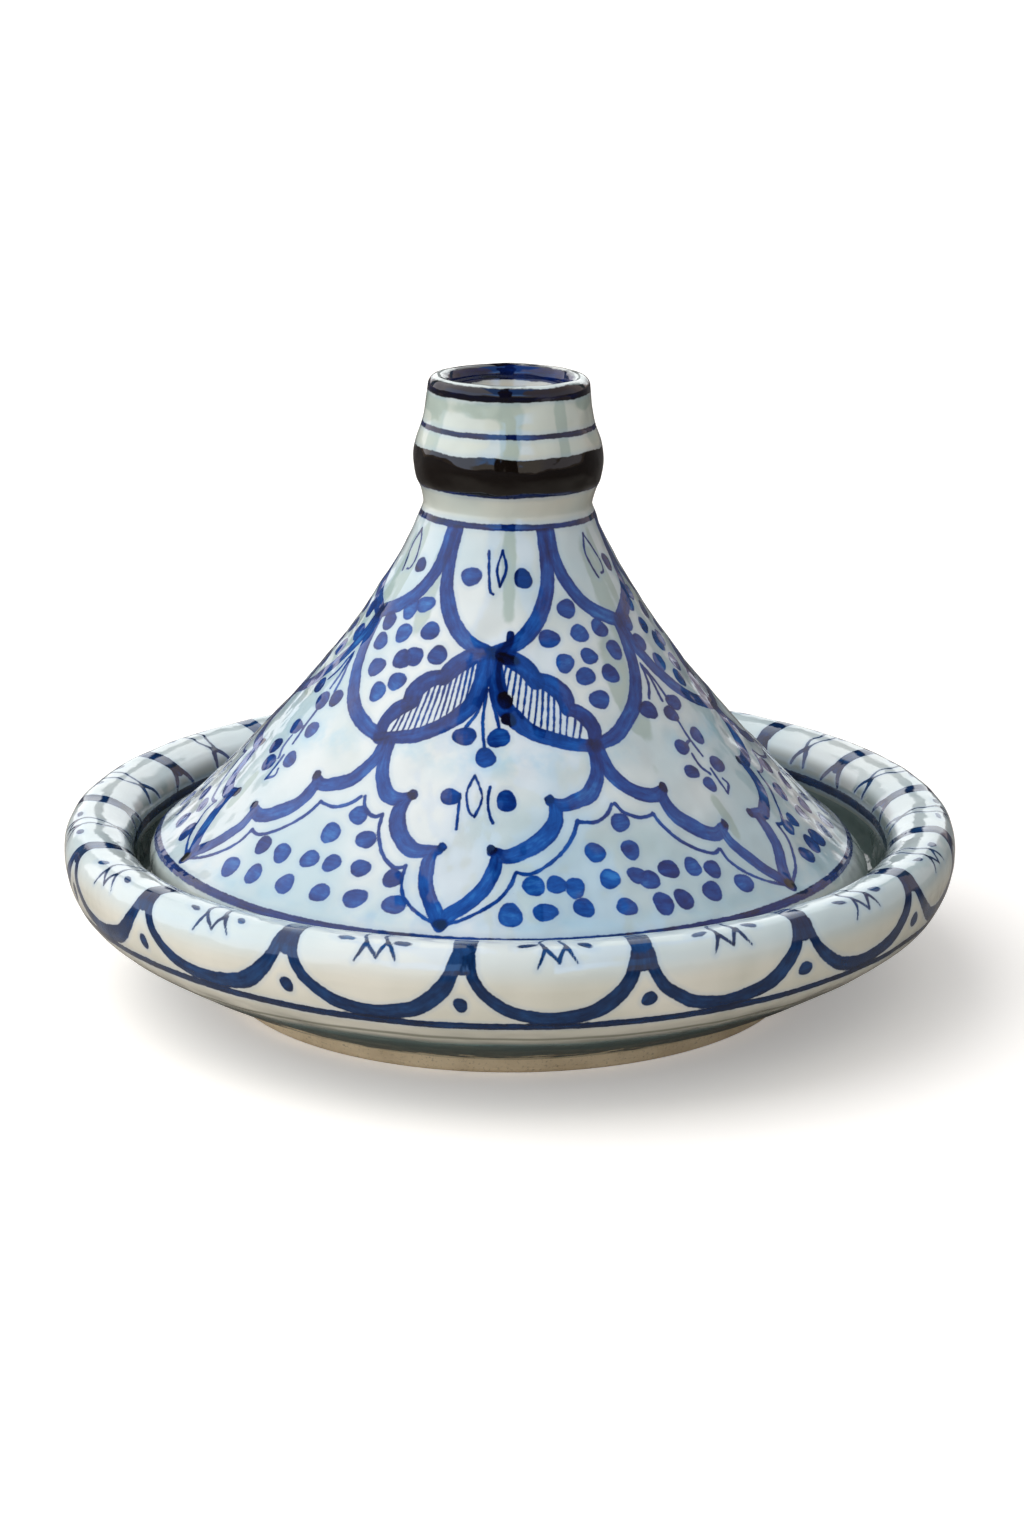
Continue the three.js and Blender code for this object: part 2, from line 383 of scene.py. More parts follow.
def paint_bud(canvas, middle, lean):
    """Two dots, a lens and two thin strokes in the middle of a medallion."""
    at = middle + lean * (1 - 50 / JUNCTION)
    canvas.dab(at - 6.6, 50.2, 6.9, 6.9, 0.9)
    canvas.dab(at + 6.1, 49.2, 6.9, 6.9, 0.9)
    paint_marks(canvas, at, BUD_MARKS)


def paint_wings(canvas, at, widen):
    """A pair of hatched wings under a petal's tip, with three berries hanging between them."""
    for side in (-1, 1):
        canvas.stroke(set_at(WING_UNDER, at, side, widen), WING_UNDER_WIDTHS, 0.62)
        for line, widths in zip(WING_OVER, WING_OVER_WIDTHS):
            canvas.stroke(set_at(line, at, side, widen), widths, 0.68)
        under = curve_through(WING_UNDER)
        over = curve_through(sum(WING_OVER, []))
        over[:, 0] = np.maximum.accumulate(over[:, 0])
        slant = 1.3 if side > 0 else -0.5
        for k in range(HATCHES):
            mid = HATCH_FROM + HATCH_OVER * (k + 0.5) / HATCHES
            low = np.interp(mid - slant, under[:, 0], under[:, 1]) + HATCH_GAP
            high = np.interp(mid + slant, over[:, 0], over[:, 1]) - HATCH_GAP
            if high - low > 2:
                hatch = [(mid - slant, low), (mid, (low + high) / 2), (mid + slant, high)]
                canvas.stroke(set_at(hatch, at, side, widen), HATCH_WIDTHS, 0.62, hand=0.1)
    for line in WING_STALKS:
        canvas.stroke(set_at(line, at), 1.3, 0.55, hand=0.15)
    for a, s in WING_BERRIES:
        canvas.dab(at + a, s, 7.3, 7.0, 0.85)


def paint_shoulders(canvas, at, widen):
    """The two arcs of the other kind of sector, and the sprig of berries between them."""
    for side in (-1, 1):
        canvas.stroke(set_at(SHOULDER, at, side, widen), SHOULDER_WIDTHS, 0.58)
    for line in SPRIG_STALKS:
        canvas.stroke(set_at(line, at), 1.25, 0.6, hand=0.15)
    for a, s in SPRIG_BERRIES:
        canvas.dab(at + a, s, 6.7, 6.6, 0.8)
    paint_marks(canvas, at, [(SPRIG_TAIL, 1.1, 0.6)])


def paint_petal(canvas, at, line, widen):
    """The wide loop that hangs from the neck, and the small motif inside it."""
    for side in (-1, 1):
        canvas.stroke(set_at(line, at, side, widen), PETAL_WIDTHS[:len(line)], 0.58)
    if line is PETAL_A:
        canvas.dab(at - 13.3, 126.2, 6.6, 6.6, 0.72)
        canvas.dab(at + 13.5, 126, 6.6, 6.8, 0.95)
        paint_marks(canvas, at, PETAL_A_MARKS)
    else:
        paint_marks(canvas, at, PETAL_B_MARKS)
        canvas.dab(at + 12.6, 127.5, 4.4, 6.4, 0.95)


CONE_RINGS = [(0.4, 2.6, 1.05, 0.15), (142.6, 2.4, 1.15, 0.2)]   # place, width, pigment, waver
# glaze that ran thick, and watery blue: azimuth off a petal's middle or a boundary, place, width, height
# the first run of kind A is a painted reflection of the dark streak down the front, repeated in each
# sector of kind A
RUNS_AND_FRONT_STREAK = {"A": [(6.4, 128, 3.4, 20), (-62, 118, 5, 24), (-72, 84, 7, 26), (44, 74, 3.2, 22),
              (86, 120, 4, 20)],
        "B": [(6, 126, 2.3, 18), (-3, 34, 3, 10)]}
PETAL_WASHES = [(6, 63, 30, 7, 0.8), (-16, 65, 20, 6, 0.6)]   # and how strong the blue is
FOOT_WASHES = [(-20, 6, 40, 4, 0.5), (8, 6, 30, 4, 0.45)]
# clots and trails of pigment by the front petal's tip, made darker where the dark streak reflected down
# the front crosses the paint, so partly painted reflection
FRONT_STREAK_CLOTS = [(0.2, 98.8, 6.2, 3.8), (-0.3, 84.8, 4.0, 5.4), (1.0, 77.6, 5.2, 3.6)]
FRONT_STREAK_TRAILS = [([(1.6, 107), (0.9, 104), (-1.0, 101.4)], 2.6, 1.1),
                ([(-2.2, 98), (-2.6, 92), (-0.9, 86)], 1.7, 1.1)]


def paint_cone(canvas):
    """All the brushwork on the lid's cone."""
    for ring in CONE_RINGS:
        canvas.ring(*ring)
    left = BOUNDARIES[-1] - 360
    dots = 2 * [SPANDREL_RIGHT, SPANDREL_THIRD, SPANDREL_LEFT]
    for (kind, middle, lean, top), right, spandrel in zip(SECTORS, BOUNDARIES, dots):
        widen = (right - left) / 2 / HALF_SECTOR
        paint_medallion(canvas, middle, lean, left, right)
        if kind == "A":
            paint_bud(canvas, middle, lean)
            paint_petal(canvas, top, PETAL_A, widen)
            paint_wings(canvas, top, widen)
        else:
            paint_petal(canvas, top, PETAL_B, widen)
            paint_shoulders(canvas, top, widen)
        shift = right - BOUNDARIES[0]
        for a, s in FAN_A if kind == "A" else FAN_B:
            canvas.dab(a + shift, s, 6.6, 6.8, 0.55)
        for a, s in spandrel:
            size = 8.2 if s < 15 else 7.4     # the lowest row has the largest dots
            canvas.dab(right + a, s, size * 0.92, size * 0.9, 0.58)
        # thick runs; the first of kind A is a painted reflection of the dark streak down the front
        for a, *patch in RUNS_AND_FRONT_STREAK[kind]:
            canvas.water(top + a, *patch, -0.85)
        for a, *patch in PETAL_WASHES:
            canvas.water(top + a, *patch)
        for a, *patch in FOOT_WASHES:
            canvas.water(right + a, *patch)
        left = right
    # partly painted reflection: heavy pigment where the dark streak down the front crosses the paint
    for clot in FRONT_STREAK_CLOTS:
        canvas.dab(*clot, 1.9)
    paint_marks(canvas, 0, FRONT_STREAK_TRAILS)


# height, width, pigment, waver; the last lies 2.7 mm down inside the lip, past its top
KNOB_RINGS = [(160.6, 2.3, 1.25, 0.15), (172.4, 3.8, 1.35, 0.15), (178.3, 10.4, 3.2, 0.3),
              (190.1, 1.7, 1.5, 0.2), (203.0, 4.3, 2.1, 0.2), (208.4, 5.0, 1.6, 0.4)]
# thick runs on the knob: azimuth, height, width, length; the first, at the front, is a painted
# reflection of a dark streak
KNOB_RUNS_AND_FRONT_STREAK = [(1, 190, 4.5, 17), (37, 190, 3, 17), (-56, 188, 5, 16), (96, 190, 7, 15), (168, 190, 6, 15),
             (215, 190, 5, 15), (-20, 198, 14, 4), (66, 199, 9, 4), (280, 198, 12, 4)]


def paint_knob(canvas):
    """The rings on the neck and the knob. Places here are heights, not lengths along the outline."""
    for ring in KNOB_RINGS:
        canvas.ring(*ring)
    # thick runs; the first, at the front, is a painted reflection of a dark streak
    for run in KNOB_RUNS_AND_FRONT_STREAK:
        canvas.water(*run, -0.9)


def paint_skirt(canvas):
    """The lower half of the line round the cone's foot."""
    canvas.ring(canvas.place[-1] - 0.2, 2.2, 0.85, 0.15)


# ---- the dish's design

# azimuths of the bands that cross the rim: uneven, as the painter stepped them off by eye
BANDS = [-49.8, -26.8, -5.3, 15.5, 37, 58.9, 78.5, 97.5, 116.5, 135, 157.2, 179, 201, 223.2, 245, 267,
         288.6]
BAND_WIDTHS = [5.5, 7.4, 6.6, 5.4]
HALF_CELL = 10.75   # half the space between two bands, as the sprig was drawn
LOOP = [(-0.93, 24, 3.6), (-0.91, 19.5, 3.5), (-0.84, 15.4, 3.5), (-0.735, 12, 3.9), (-0.55, 8, 4.3),
        (-0.36, 5.3, 4.9), (0, 3.5, 5.8), (0.38, 5.3, 6.0), (0.57, 8, 6.0), (0.745, 12.8, 5.4),
        (0.86, 17.8, 4.4), (0.93, 24, 3.8)]   # share of half a cell, mm above the thin line, width
RIM_BACK = 96.5     # where a band ends inside the rim, along the outline
BLOSSOM = [([(-2.0, 74.2), (-1.3, 77.6), (-1.0, 80.8)], [0.5, 0.9, 1.1]),
           ([(-1.0, 80.8), (-0.3, 78.6), (0.7, 75.8)], [1.0, 1.0, 0.7]),
           ([(0.6, 75.8), (1.0, 78.6), (1.6, 81.4)], [0.7, 1.0, 1.1]),
           ([(1.6, 81.4), (2.2, 78.5), (2.9, 75.2)], [1.1, 1.0, 0.5]),
           ([(-1.0, 80.8), (-1.5, 85), (-0.6, 89.6), (-0.2, 95)], [1.0, 0.9, 0.8, 1.2]),
           ([(1.6, 81.4), (0.9, 85.6), (1.3, 89.4), (0.1, 95)], [1.0, 0.9, 0.8, 1.2]),
           ([(-0.1, 94.6), (-1.2, 98), (-1.9, 101.6)], [2.0, 1.4, 1.0]),
           ([(0.1, 94.6), (1.1, 98), (1.7, 101.2)], [2.0, 1.4, 1.0])]


def thin_line(azimuth):
    """Place of the thin line under the loops: it runs low just right of the front."""
    off = np.abs((np.asarray(azimuth, float) - 8 + 180) % 360 - 180)
    return 53.4 + 2.8 * ramp(off, 0, 62)


def paint_band(canvas, band):
    """A band over the rim, forked at its inner end, with a drop below it."""
    base = thin_line(band)
    line = [(band, base + 21), (band, 82), (band + 0.1, 90), (band, RIM_BACK)]
    canvas.stroke(line, BAND_WIDTHS, 0.75, hand=0.15)
    for side in (-1, 1):
        fork = [(0.5, RIM_BACK - 1), (1.5, RIM_BACK + 3), (2.5, RIM_BACK + 6.4)]
        canvas.stroke(set_at(fork, band, side), [3.0, 2.2, 1.4], 0.95, hand=0.1)
    canvas.dab(band + 0.4, base + 8.5, 4.8, 5.4, 0.95, turn=20)


def paint_sprig(canvas, middle, wide):
    """A small flower between two bands, with a leaf at either side."""
    for line, widths in BLOSSOM:
        canvas.stroke(set_at(line, middle, 1, wide), [w * 1.25 for w in widths], 0.62, hand=0.12)
    canvas.dab(middle - 3.5 * wide, 81.6, 5.6, 2.0, 0.5, turn=12)
    canvas.dab(middle + 3.9 * wide, 81.4, 5.0, 2.5, 0.5, turn=-15)


def paint_rim(canvas):
    """Loops hung between bands, over a thin line, and a sprig on top of the rim between them."""
    canvas.ring(thin_line, 3.2, 0.95, 0.15)
    canvas.ring(105.4, 3.2, 1.15, 0.3)
    for band, following in zip(BANDS, BANDS[1:] + [BANDS[0] + 360]):
        middle, half = (band + following) / 2, (following - band) / 2
        base = thin_line(middle)
        loop = [(middle + share * half, s + 0.65 * thin_line(middle + share * half) + 0.35 * base)
                for share, s, _ in LOOP]
        canvas.stroke(loop, [w for _, _, w in LOOP], 0.75, hand=0.12)
        paint_band(canvas, band)
        paint_sprig(canvas, middle, half / HALF_CELL)


# ---- form

LUMP_WAVES = 14
LUMP_SIZE = 0.045     # millimetres, each
lump_ways = rng.normal(0, 1, (LUMP_WAVES, 3))
lump_ways *= (2 * math.pi / rng.uniform(13, 30, LUMP_WAVES) / np.linalg.norm(lump_ways, axis=1))[:, None]
lump_starts = rng.uniform(0, 2 * math.pi, LUMP_WAVES)


def lumps(x, y, z):
    """The uneven skin of a thickly glazed hand-made pot, in millimetres."""
    total = np.zeros(np.broadcast(x, y, z).shape)
    for (a, b, c), start in zip(lump_ways, lump_starts):
        total += np.sin(a * x + b * y + c * z + start)
    return LUMP_SIZE * total


def thrown(azimuth, places):
    """Unevenness of a thrown wall in millimetres: slow waves round it and faint ridges up it."""
    a = np.radians(azimuth)[None, :]
    s = places[:, None]
    slow = 0.16 * np.cos(2 * a + 0.7) + 0.10 * np.cos(3 * a - s / 60) + 0.05 * np.cos(5 * a + s / 30)
    ridges = 0.035 * np.sin(s / 1.35 + a) + 0.03 * np.sin(s / 2.4 - 2 * a + 1.1)
    return slow + ridges


def lid_form(x, y, z):
    """Sets the lid down a little askew, and leaves its hidden seat where it rests."""
    w = ramp(z, 38, 50)
    lean = math.sin(LID_LEAN)
    return x + w * (LID_SHIFT + (z - LID_LEAN_ABOUT_Z) * lean), y, z - w * x * lean


def dish_form(x, y, z):
    """Tips the rim forward a little; the foot stays flat."""
    return x, y, z + RIM_DIP * ramp(z, 12, 48) * y / RIM_WIDE[0]


def bowl_form(x, y, z):
    """Follows the rim's dip at the gallery wall, and none of it from the ledge down."""
    return x, y, z + RIM_DIP * ramp(z, 34, 44) * ramp(44.0, 12, 48) * y / RIM_WIDE[0]


END_FADE = 4          # millimetres at each end of an outline over which the unevenness fades in
POLE_FADE = (2, 12)   # and radii over which it does near the axis


def turned(name, profile, columns, form=None, roughness=1.0, paint=None, places=None):
    """A turned piece with its brushwork: rows of the profile, columns round the axis."""
    r, z = profile[:, 0], profile[:, 1]
    length = length_along(profile)
    canvas = Canvas(columns, length if places is None else places, r)
    if paint:
        paint(canvas)
    way = heading(profile)
    ends = ramp(length, 0, END_FADE) * ramp(length[-1] - length, 0, END_FADE) * ramp(r, *POLE_FADE)
    a = np.radians(canvas.azimuth)[None, :]
    skin = lumps(r[:, None] * np.sin(a), -r[:, None] * np.cos(a), z[:, None])
    push = roughness * (thrown(canvas.azimuth, length) + skin) * ends[:, None]
    rr = r[:, None] + push * way[:, 1][:, None]
    zz = z[:, None] - push * way[:, 0][:, None]
    x, y = rr * np.sin(a), -rr * np.cos(a)
    if form:
        x, y, zz = form(x, y, zz)
    grid = np.stack([x, y, np.broadcast_to(zz, x.shape)], -1) * MM
    closed_start, closed_end = r[0] < 1e-6, r[-1] < 1e-6
    first, last = int(closed_start), len(r) - int(closed_end)
    count = (last - first) * columns
    index = np.arange(count).reshape(-1, columns)
    turn = np.roll(index, -1, axis=1)
    quads = np.stack([index[:-1], turn[:-1], turn[1:], index[1:]], -1).reshape(-1, 4)
    poles, fans = [], [np.zeros((0, 3), int)]
    for closed, pole, here, there in ((closed_start, grid[0, 0], turn[0], index[0]),
                                      (closed_end, grid[-1, 0], index[-1], turn[-1])):
        if closed:
            fans.append(np.stack([np.full(columns, count + len(poles)), here, there], -1))
            poles.append(pole)
    points = np.vstack([grid[first:last].reshape(-1, 3), *poles])
    return mesh_piece(name, points, quads, np.vstack(fans), spread(canvas, first, last, len(poles)))


def spread(canvas, first, last, poles):
    """The canvas as one value for each vertex."""
    values = {}
    for key, blank in (("edge", FAR), ("load", 0), ("wash", 0), ("bristle", 0)):
        grid = getattr(canvas, key)[first:last]
        grid = grid.reshape(-1, *grid.shape[2:])
        values[key] = np.concatenate([grid, np.full((poles, *grid.shape[1:]), blank)])
    return values


def mesh_piece(name, points, quads, fans, values):
    """A smooth mesh object from quads and triangles, with a value for each vertex."""
    mesh = bpy.data.meshes.new(name)
    mesh.vertices.add(len(points))
    mesh.vertices.foreach_set("co", points.astype(np.float32).ravel())
    corners = np.r_[quads.ravel(), fans.ravel()].astype(np.int32)
    mesh.loops.add(len(corners))
    mesh.loops.foreach_set("vertex_index", corners)
    sides = np.repeat([4, 3], [len(quads), len(fans)])
    mesh.polygons.add(len(sides))
    mesh.polygons.foreach_set("loop_start", (np.cumsum(sides) - sides).astype(np.int32))
    mesh.polygons.foreach_set("use_smooth", np.ones(len(sides), bool))
    mesh.update(calc_edges=True)
    for key, value in values.items():
        kind, field = ("FLOAT_VECTOR", "vector") if value.ndim == 2 else ("FLOAT", "value")
        attribute = mesh.attributes.new(key, kind, "POINT")
        attribute.data.foreach_set(field, value.astype(np.float32).ravel())
    return new_object(name, mesh)


def new_object(name, data):
    """An object in the scene."""
    made = bpy.data.objects.new(name, data)
    bpy.context.scene.collection.objects.link(made)
    return made


# ---- materials

class Nodes:
    """Short ways to add and join the shader nodes of a material or of the world."""

    def __init__(self, owner, coordinates="Object"):
        owner.use_nodes = True
        self.owner = owner
        self.tree = owner.node_tree
        self.tree.nodes.clear()
        self.coords = self.add("ShaderNodeTexCoord").outputs[coordinates]

    def add(self, kind, inputs=(), **settings):
        """A new node with its settings and inputs."""
        node = self.tree.nodes.new(kind)
        for key, value in settings.items():
            setattr(node, key, value)
        for key, value in dict(inputs).items():
            self.feed(node.inputs[key], value)
        return node

    def feed(self, socket, value):
        """Links or sets an input. None leaves it at its default, and a colour's alpha is 1."""
        if isinstance(value, bpy.types.NodeSocket):
            self.tree.links.new(value, socket)
        elif value is not None:
            socket.default_value = (*value, 1) if socket.type == "RGBA" else value

    def attribute(self, name, output="Fac"):
        return self.add("ShaderNodeAttribute", attribute_name=name).outputs[output]

    def parts(self, vector):
        return self.add("ShaderNodeSeparateXYZ", {0: vector}).outputs

    def length(self, vector):
        return self.add("ShaderNodeVectorMath", {0: vector}, operation="LENGTH").outputs["Value"]

    def math(self, operation, a, b=None, c=None, clamp=False):
        node = self.add("ShaderNodeMath", enumerate((a, b, c)), operation=operation, use_clamp=clamp)
        return node.outputs[0]

    def times(self, a, b):
        return self.math("MULTIPLY", a, b)

    def swayed(self, value, noise, amount):
        """A value moved up and down by a noise, which lies about 0.5."""
        return self.math("ADD", value, self.times(self.math("SUBTRACT", noise, 0.5), amount))

    def scaled(self, stretch, source=None):
        """Coordinates stretched along each axis."""
        inputs = {"Vector": source or self.coords, "Scale": stretch}
        return self.add("ShaderNodeMapping", inputs).outputs[0]

    def noise(self, scale, detail=2.0, roughness=0.5, source=None, distortion=0.0):
        inputs = {"Vector": source or self.coords, "Scale": scale, "Detail": detail,
                  "Roughness": roughness, "Distortion": distortion}
        return self.add("ShaderNodeTexNoise", inputs).outputs["Fac"]

    def span(self, value, low, high, to_low=0.0, to_high=1.0, smooth=True):
        """A value mapped from low..high to to_low..to_high, and held beyond."""
        kind = "SMOOTHSTEP" if smooth else "LINEAR"
        inputs = enumerate((value, low, high, to_low, to_high))
        return self.add("ShaderNodeMapRange", inputs, interpolation_type=kind).outputs[0]

    def mix(self, factor, a, b):
        inputs = {"Factor": factor, "A": a, "B": b}
        return self.add("ShaderNodeMix", inputs, data_type="RGBA").outputs["Result"]

    def ramp(self, factor, stops):
        """A colour ramp through stops, each a place and a colour."""
        node = self.add("ShaderNodeValToRGB", {"Fac": factor})
        elements = node.color_ramp.elements
        while len(elements) < len(stops):
            elements.new(0.5)
        for element, (at, colour) in zip(elements, stops):
            element.position = at
            element.color = (*colour, 1)
        return node.outputs["Color"]

    def bump(self, height, distance):
        return self.add("ShaderNodeBump", {"Height": height, "Distance": distance}).outputs["Normal"]

    def finish(self, colour, roughness, normal=None, coat=0.0, ior=1.5, coat_normal=None, glow=None):
        """The finished material."""
        shader = self.add("ShaderNodeBsdfPrincipled", {
            "Base Color": colour, "Roughness": roughness, "Normal": normal, "IOR": ior,
            "Coat Weight": coat, "Coat Roughness": 0.03, "Coat IOR": 1.6, "Coat Normal": coat_normal,
            "Emission Color": glow, "Emission Strength": 0.0 if glow is None else 1.0})
        self.add("ShaderNodeOutputMaterial", {"Surface": shader.outputs[0]})
        return self.owner


# the colour of the paint as it lies thicker
COBALT = [(0.0, (0.025, 0.15, 0.44)), (0.14, (0.007, 0.064, 0.29)), (0.30, (0.003, 0.026, 0.17)),
          (0.50, (0.002, 0.009, 0.070)), (0.74, (0.003, 0.003, 0.012)), (1.0, (0.006, 0.004, 0.003))]
DISH_COBALT = [(0.0, (0.02, 0.12, 0.30)), (0.14, (0.008, 0.050, 0.165)), (0.30, (0.004, 0.025, 0.092)),
               (0.50, (0.002, 0.009, 0.040)), (0.74, (0.003, 0.003, 0.010)), COBALT[-1]]
# the two colours that each glaze, and the clay, drifts between
CONE_GLAZE = (0.62, 0.665, 0.675), (0.44, 0.56, 0.61)
KNOB_GLAZE = (0.585, 0.555, 0.475), (0.53, 0.58, 0.535)
RIM_GLAZE = (0.64, 0.69, 0.69), (0.52, 0.62, 0.65)
WALL_GLAZE = (0.70, 0.68, 0.605), (0.61, 0.605, 0.53)
# teal glaze pooled above the foot, kept dark as painted shade on the dish's underside
POOL_GLAZE_AND_SHADE = (0.06, 0.145, 0.155), (0.15, 0.265, 0.275)
INSIDE_GLAZE = (0.52, 0.56, 0.54), (0.42, 0.49, 0.46)
CLAY = (0.86, 0.71, 0.49), (0.70, 0.56, 0.37)
CLAY_SPECK = (0.16, 0.11, 0.07)
# grey-green of thick glaze, also used for the painted reflection of a dark streak down the front
THICK_GLAZE_AND_STREAK = (0.30, 0.39, 0.35)
# painted shade: dark teal for the gallery between the rim and the lid
GALLERY_SHADE_TEAL = (0.055, 0.085, 0.08)
POOL_HEM = (0.06, 0.10, 0.08)        # along the foot
POOL_LINE = (0.33, 0.33, 0.27)       # the thin line above the pool
WATERY_BLUE = (0.27, 0.50, 0.64)
BLEED_BLUE = (0.20, 0.36, 0.60)
PINHOLE = (0.10, 0.08, 0.06)
# heights in metres between which one glaze turns into the next
NECK_TURN = 0.156, 0.166
RIM_TURN = 0.046, 0.056
POOL_TURN = 0.0262, 0.0215
HEM_TURN = 0.0085, 0.0105
LINE_LOW, LINE_HIGH = (0.0262, 0.0270), (0.0285, 0.0275)
# radii in metres between which painted shade darkens the gallery's glaze, on the rim and on the bowl
GALLERY_SHADE_ON_RIM = 0.1312, 0.1274
GALLERY_SHADE_ON_BOWL = 0.1125, 0.116


def from_axis(n):
    """Distance from the pot's axis, in metres."""
    return n.length(n.scaled((1, 1, 0)))


def lid_glaze_colour(n, height):
    """The lid's glaze: milky blue-white on the cone, creamier on the knob, grey-green where it ran."""
    drips = n.noise(30, 3, 0.55, n.scaled((1.0, 1.0, 0.25)), distortion=0.6)
    cloud = n.noise(12, 3, 0.55)
    cone = n.mix(n.span(cloud, 0.38, 0.62), *CONE_GLAZE)
    knob = n.mix(n.span(cloud, 0.42, 0.60), *KNOB_GLAZE)
    body = n.mix(n.span(height, *NECK_TURN), cone, knob)
    return n.mix(n.times(n.span(drips, 0.52, 0.78), 0.24), body, THICK_GLAZE_AND_STREAK)


def dish_glaze_colour(n, height):
    """The dish's glaze: blue-white on top, cream on the outer face, grey-green where it pooled below,
    that band also kept dark as painted shade on the underside.
    """
    drips = n.noise(22, 3, 0.55, n.scaled((1.0, 1.0, 0.3)), distortion=0.4)
    top = n.mix(n.span(n.noise(11, 3, 0.5), 0.36, 0.66), *RIM_GLAZE)
    cream = n.mix(n.span(drips, 0.42, 0.66), *WALL_GLAZE)
    level = n.swayed(height, n.noise(16, 2), 0.006)
    body = n.mix(n.span(level, *RIM_TURN), cream, top)
    rings = n.noise(1.0, 3, 0.6, n.scaled((6, 6, 1500)))
    # glaze pooled above the foot; its dark teal is partly painted shade on the underside
    pool = n.mix(n.span(level, *HEM_TURN), POOL_HEM, n.mix(rings, *POOL_GLAZE_AND_SHADE))
    pooled = n.mix(n.span(level, *POOL_TURN), body, pool)
    line = n.times(n.span(level, *LINE_LOW), n.span(level, *LINE_HIGH))
    pooled = n.mix(line, pooled, POOL_LINE)
    # painted shade: the rim's inner side darkens towards the gallery where the lid stands
    return n.mix(n.span(from_axis(n), *GALLERY_SHADE_ON_RIM, 0.0, 0.8), pooled, GALLERY_SHADE_TEAL)


def bowl_glaze_colour(n, height):
    """The inside of the bowl, and the gallery round it, darkened with painted shade where the lid
    stands.
    """
    out = n.swayed(from_axis(n), n.noise(40, 3), 0.004)
    # painted shade darkens the gallery round the bowl
    return n.mix(n.span(out, *GALLERY_SHADE_ON_BOWL, 0.0, 0.92), inside_glaze_colour(n, height), GALLERY_SHADE_TEAL)


def inside_glaze_colour(n, _):
    """The plain glaze inside the lid and the bowl, the same at every height."""
    return n.mix(n.span(n.noise(14, 3, 0.5), 0.35, 0.66), *INSIDE_GLAZE)


def painted_glaze(name, body, paints=COBALT, waves=2.4):
    """Glossy tin glaze with the cobalt brushwork melted into it."""
    n = Nodes(bpy.data.materials.new(name))
    ground = body(n, n.parts(n.coords)["Z"])

    # where the paint lies: its edge is ragged, and a faint blue bleeds out past it
    edge, load, wash = n.attribute("edge"), n.attribute("load"), n.attribute("wash")
    ragged = n.swayed(edge, n.noise(420, 2.5, 0.6), 0.75)
    paint = n.span(ragged, 0.22, -0.22)
    bleed = n.span(ragged, 1.9, 0.0, 0.0, 0.20)

    # how thick it lies: by its load, in streaks along the stroke, in pools, and at the stroke's edge
    streaks = n.noise(1.0, 3, 0.6, n.scaled((0.13, 1.5, 1.0), n.attribute("bristle", "Vector")))
    tone = n.swayed(n.times(load, 0.36), streaks, 0.5)
    tone = n.swayed(tone, n.noise(85, 4, 0.62), 0.6)
    fringe = n.span(edge, -1.5, -0.15)
    tone = n.math("ADD", tone, n.times(fringe, 0.06), clamp=True)
    cobalt = n.ramp(tone, paints)

    # the ground: watery blue, thick runs (the one down the front a painted reflection of a dark streak),
    # the bleed, and a few pinholes
    patches = n.noise(95, 3, 0.6)
    watery = n.times(n.math("MAXIMUM", wash, 0.0), n.span(patches, 0.30, 0.62))
    ground = n.mix(n.times(watery, 0.75), ground, WATERY_BLUE)
    thick = n.math("SUBTRACT", n.times(n.math("MINIMUM", wash, 0.0), -1.5), patches)
    ground = n.mix(n.span(thick, -0.08, 0.30, 0.0, 0.66), ground, THICK_GLAZE_AND_STREAK)
    ground = n.mix(bleed, ground, BLEED_BLUE)
    cells = n.add("ShaderNodeTexVoronoi", {"Scale": 95})
    pinhole = n.span(cells.outputs["Distance"], 0.055, 0.035)
    pinhole = n.times(pinhole, n.span(n.noise(31, 1), 0.62, 0.66))
    ground = n.mix(n.times(pinhole, 0.75), ground, PINHOLE)
    colour = n.mix(paint, ground, cobalt)

    # its skin: slow waves, finer ones on them, and the paint standing a little proud
    roughness = n.span(n.noise(70, 3, 0.6), 0.3, 0.7, 0.03, 0.09)
    skin = n.times(n.noise(75, 1.5, 0.45), waves)
    skin = n.math("ADD", skin, n.times(n.noise(210, 2, 0.5), 0.13))
    skin = n.math("ADD", skin, n.times(paint, 0.05))
    normal = n.bump(skin, 0.0006)
    return n.finish(colour, roughness, normal, coat=0.25, ior=1.46, coat_normal=normal)


def bare_clay(name):
    """The unglazed foot: fine sandy clay with turning marks and stains from the kiln."""
    n = Nodes(bpy.data.materials.new(name))
    grain = n.noise(900, 3, 0.65)
    stain = n.noise(45, 4, 0.6)
    rings = n.noise(1.0, 3, 0.6, n.scaled((14, 14, 1300)))
    colour = n.mix(n.span(stain, 0.35, 0.68), *CLAY)
    colour = n.mix(n.times(n.span(grain, 0.55, 0.72), 0.45), colour, CLAY_SPECK)
    height = n.math("ADD", n.times(grain, 0.5), n.times(rings, 0.6))
    return n.finish(colour, n.span(grain, 0.3, 0.7, 0.78, 0.92), n.bump(height, 0.0004), ior=1.45)


# ---- the pieces

WALL_CUT = 50.0      # place on the dish's outline where its wall and its painted rim part


def split(profile, at):
    """An outline cut in two at a length along it."""
    length = length_along(profile)
    k = int(np.argmin(np.abs(length - at)))
    return profile[:k + 1], profile[k:], length[k:]


